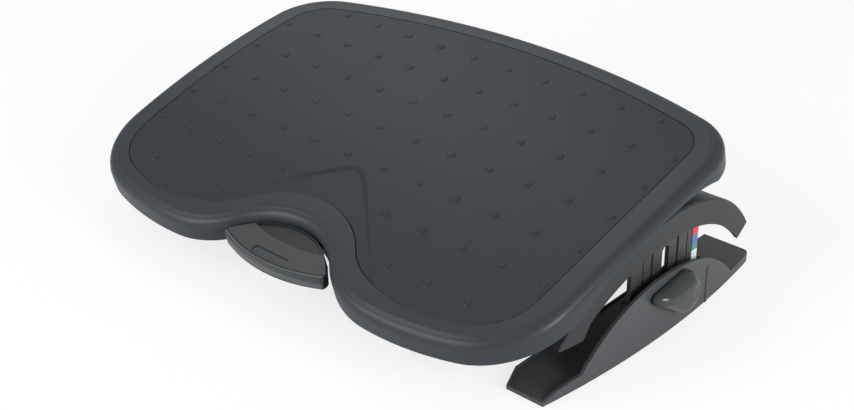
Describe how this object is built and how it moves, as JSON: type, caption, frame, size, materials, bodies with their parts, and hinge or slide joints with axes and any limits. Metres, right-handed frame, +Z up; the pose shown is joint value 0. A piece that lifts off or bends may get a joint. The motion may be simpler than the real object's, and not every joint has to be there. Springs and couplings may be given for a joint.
{
  "type": "tilting under desk footrest",
  "caption": "Under desk footrest: wide crowned platform with a grained mat on two arched side brackets, tilt pedal in a front notch, and two low feet with clamp knobs for height.",
  "frame": {"origin": "on the floor, under the middle of the footrest", "axes": "+X to the right of the user, +Y away from the user, +Z up"},
  "size_m": [0.6064, 0.3762, 0.1452],
  "materials": {
    "shell_plastic": "fine satin",
    "mat_rubber": "fine leather grain",
    "bracket_plastic": "satin",
    "rack_plastic": "satin",
    "height_strip": "printed colour bands",
    "steel": "zinc plated",
    "foot_plastic": "satin",
    "pad_rubber": "matt",
    "knob_plastic": "semi gloss",
    "pedal_plastic": "satin",
    "inner_plastic": "plain",
    "lining_rubber": "matt"
  },
  "bodies": {
    "cradle": {"right_bracket": "bracket_plastic", "left_bracket": "bracket_plastic", "right_rack_plate": "rack_plastic", "left_rack_plate": "rack_plastic", "right_height_strip": "height_strip", "left_height_strip": "height_strip", "rack_screws": "steel", "cross_beam": "inner_plastic", "beam_screws": "steel", "tilt_axle": "steel", "axle_clips": "steel", "brake_quadrant": "inner_plastic", "quadrant_screws": "steel"},
    "platform": {"platform_shell": "shell_plastic", "foot_mat": "mat_rubber", "left_outer_pivot_cap": "inner_plastic", "left_inner_pivot_cap": "inner_plastic", "right_inner_pivot_cap": "inner_plastic", "right_outer_pivot_cap": "inner_plastic", "pivot_cap_screws": "steel", "pedal_carrier": "inner_plastic", "carrier_screws": "steel", "pedal_pin": "steel", "pedal_springs": "steel"},
    "pedal": {"pedal": "pedal_plastic"},
    "brake": {"brake_slider": "inner_plastic", "brake_lining": "lining_rubber"},
    "right_foot": {"right_foot": "foot_plastic", "right_foot_pads": "pad_rubber", "right_knob_bushing": "inner_plastic"},
    "right_knob": {"right_knob": "knob_plastic", "right_clamp_stud": "steel", "right_clamp_washer": "steel"},
    "right_jaw": {"right_clamp_jaw": "inner_plastic"},
    "left_foot": {"left_foot": "foot_plastic", "left_foot_pads": "pad_rubber", "left_knob_bushing": "inner_plastic"},
    "left_knob": {"left_knob": "knob_plastic", "left_clamp_stud": "steel", "left_clamp_washer": "steel"},
    "left_jaw": {"left_clamp_jaw": "inner_plastic"}
  },
  "joints": [
    {"name": "platform_tilt", "type": "hinge", "parent": "cradle", "child": "platform", "pos_m": [0, 0.0365, 0.098], "axis": [1, 0, 0], "range_deg": [-13.8, 0]},
    {"name": "pedal_press", "type": "hinge", "parent": "platform", "child": "pedal", "pos_m": [0, -0.10945, 0.05762], "axis": [1, 0, 0], "range_deg": [0, 8], "stiffness_Nm_per_rad": 6, "springref_deg": -6.88, "deforming": ["pedal_springs"]},
    {"name": "brake_slide", "type": "slide", "parent": "platform", "child": "brake", "axis": [0, -0.9711, -0.2385], "range_m": [0, 0.0022]},
    {"name": "right_foot_height", "type": "slide", "parent": "cradle", "child": "right_foot", "axis": [0, 0, 1], "range_m": [-0.015, 0.018]},
    {"name": "right_knob_turn", "type": "hinge", "parent": "right_foot", "child": "right_knob", "pos_m": [0.295, 0.0315, 0.043], "axis": [-1, 0, 0], "range_deg": [0, 90]},
    {"name": "right_jaw_slide", "type": "slide", "parent": "right_foot", "child": "right_jaw", "axis": [-1, 0, 0], "range_m": [0, 0.0018]},
    {"name": "left_foot_height", "type": "slide", "parent": "cradle", "child": "left_foot", "axis": [0, 0, 1], "range_m": [-0.015, 0.018]},
    {"name": "left_knob_turn", "type": "hinge", "parent": "left_foot", "child": "left_knob", "pos_m": [-0.295, 0.0315, 0.043], "axis": [-1, 0, 0], "range_deg": [0, 90]},
    {"name": "left_jaw_slide", "type": "slide", "parent": "left_foot", "child": "left_jaw", "axis": [1, 0, 0], "range_m": [0, 0.0018]}
  ],
  "couplings": [
    {"joint": "brake_slide", "follows": "pedal_press", "m_per_rad": 0.015756},
    {"joint": "right_jaw_slide", "follows": "right_knob_turn", "m_per_rad": 0.0011459},
    {"joint": "left_jaw_slide", "follows": "left_knob_turn", "m_per_rad": 0.0011459}
  ]
}
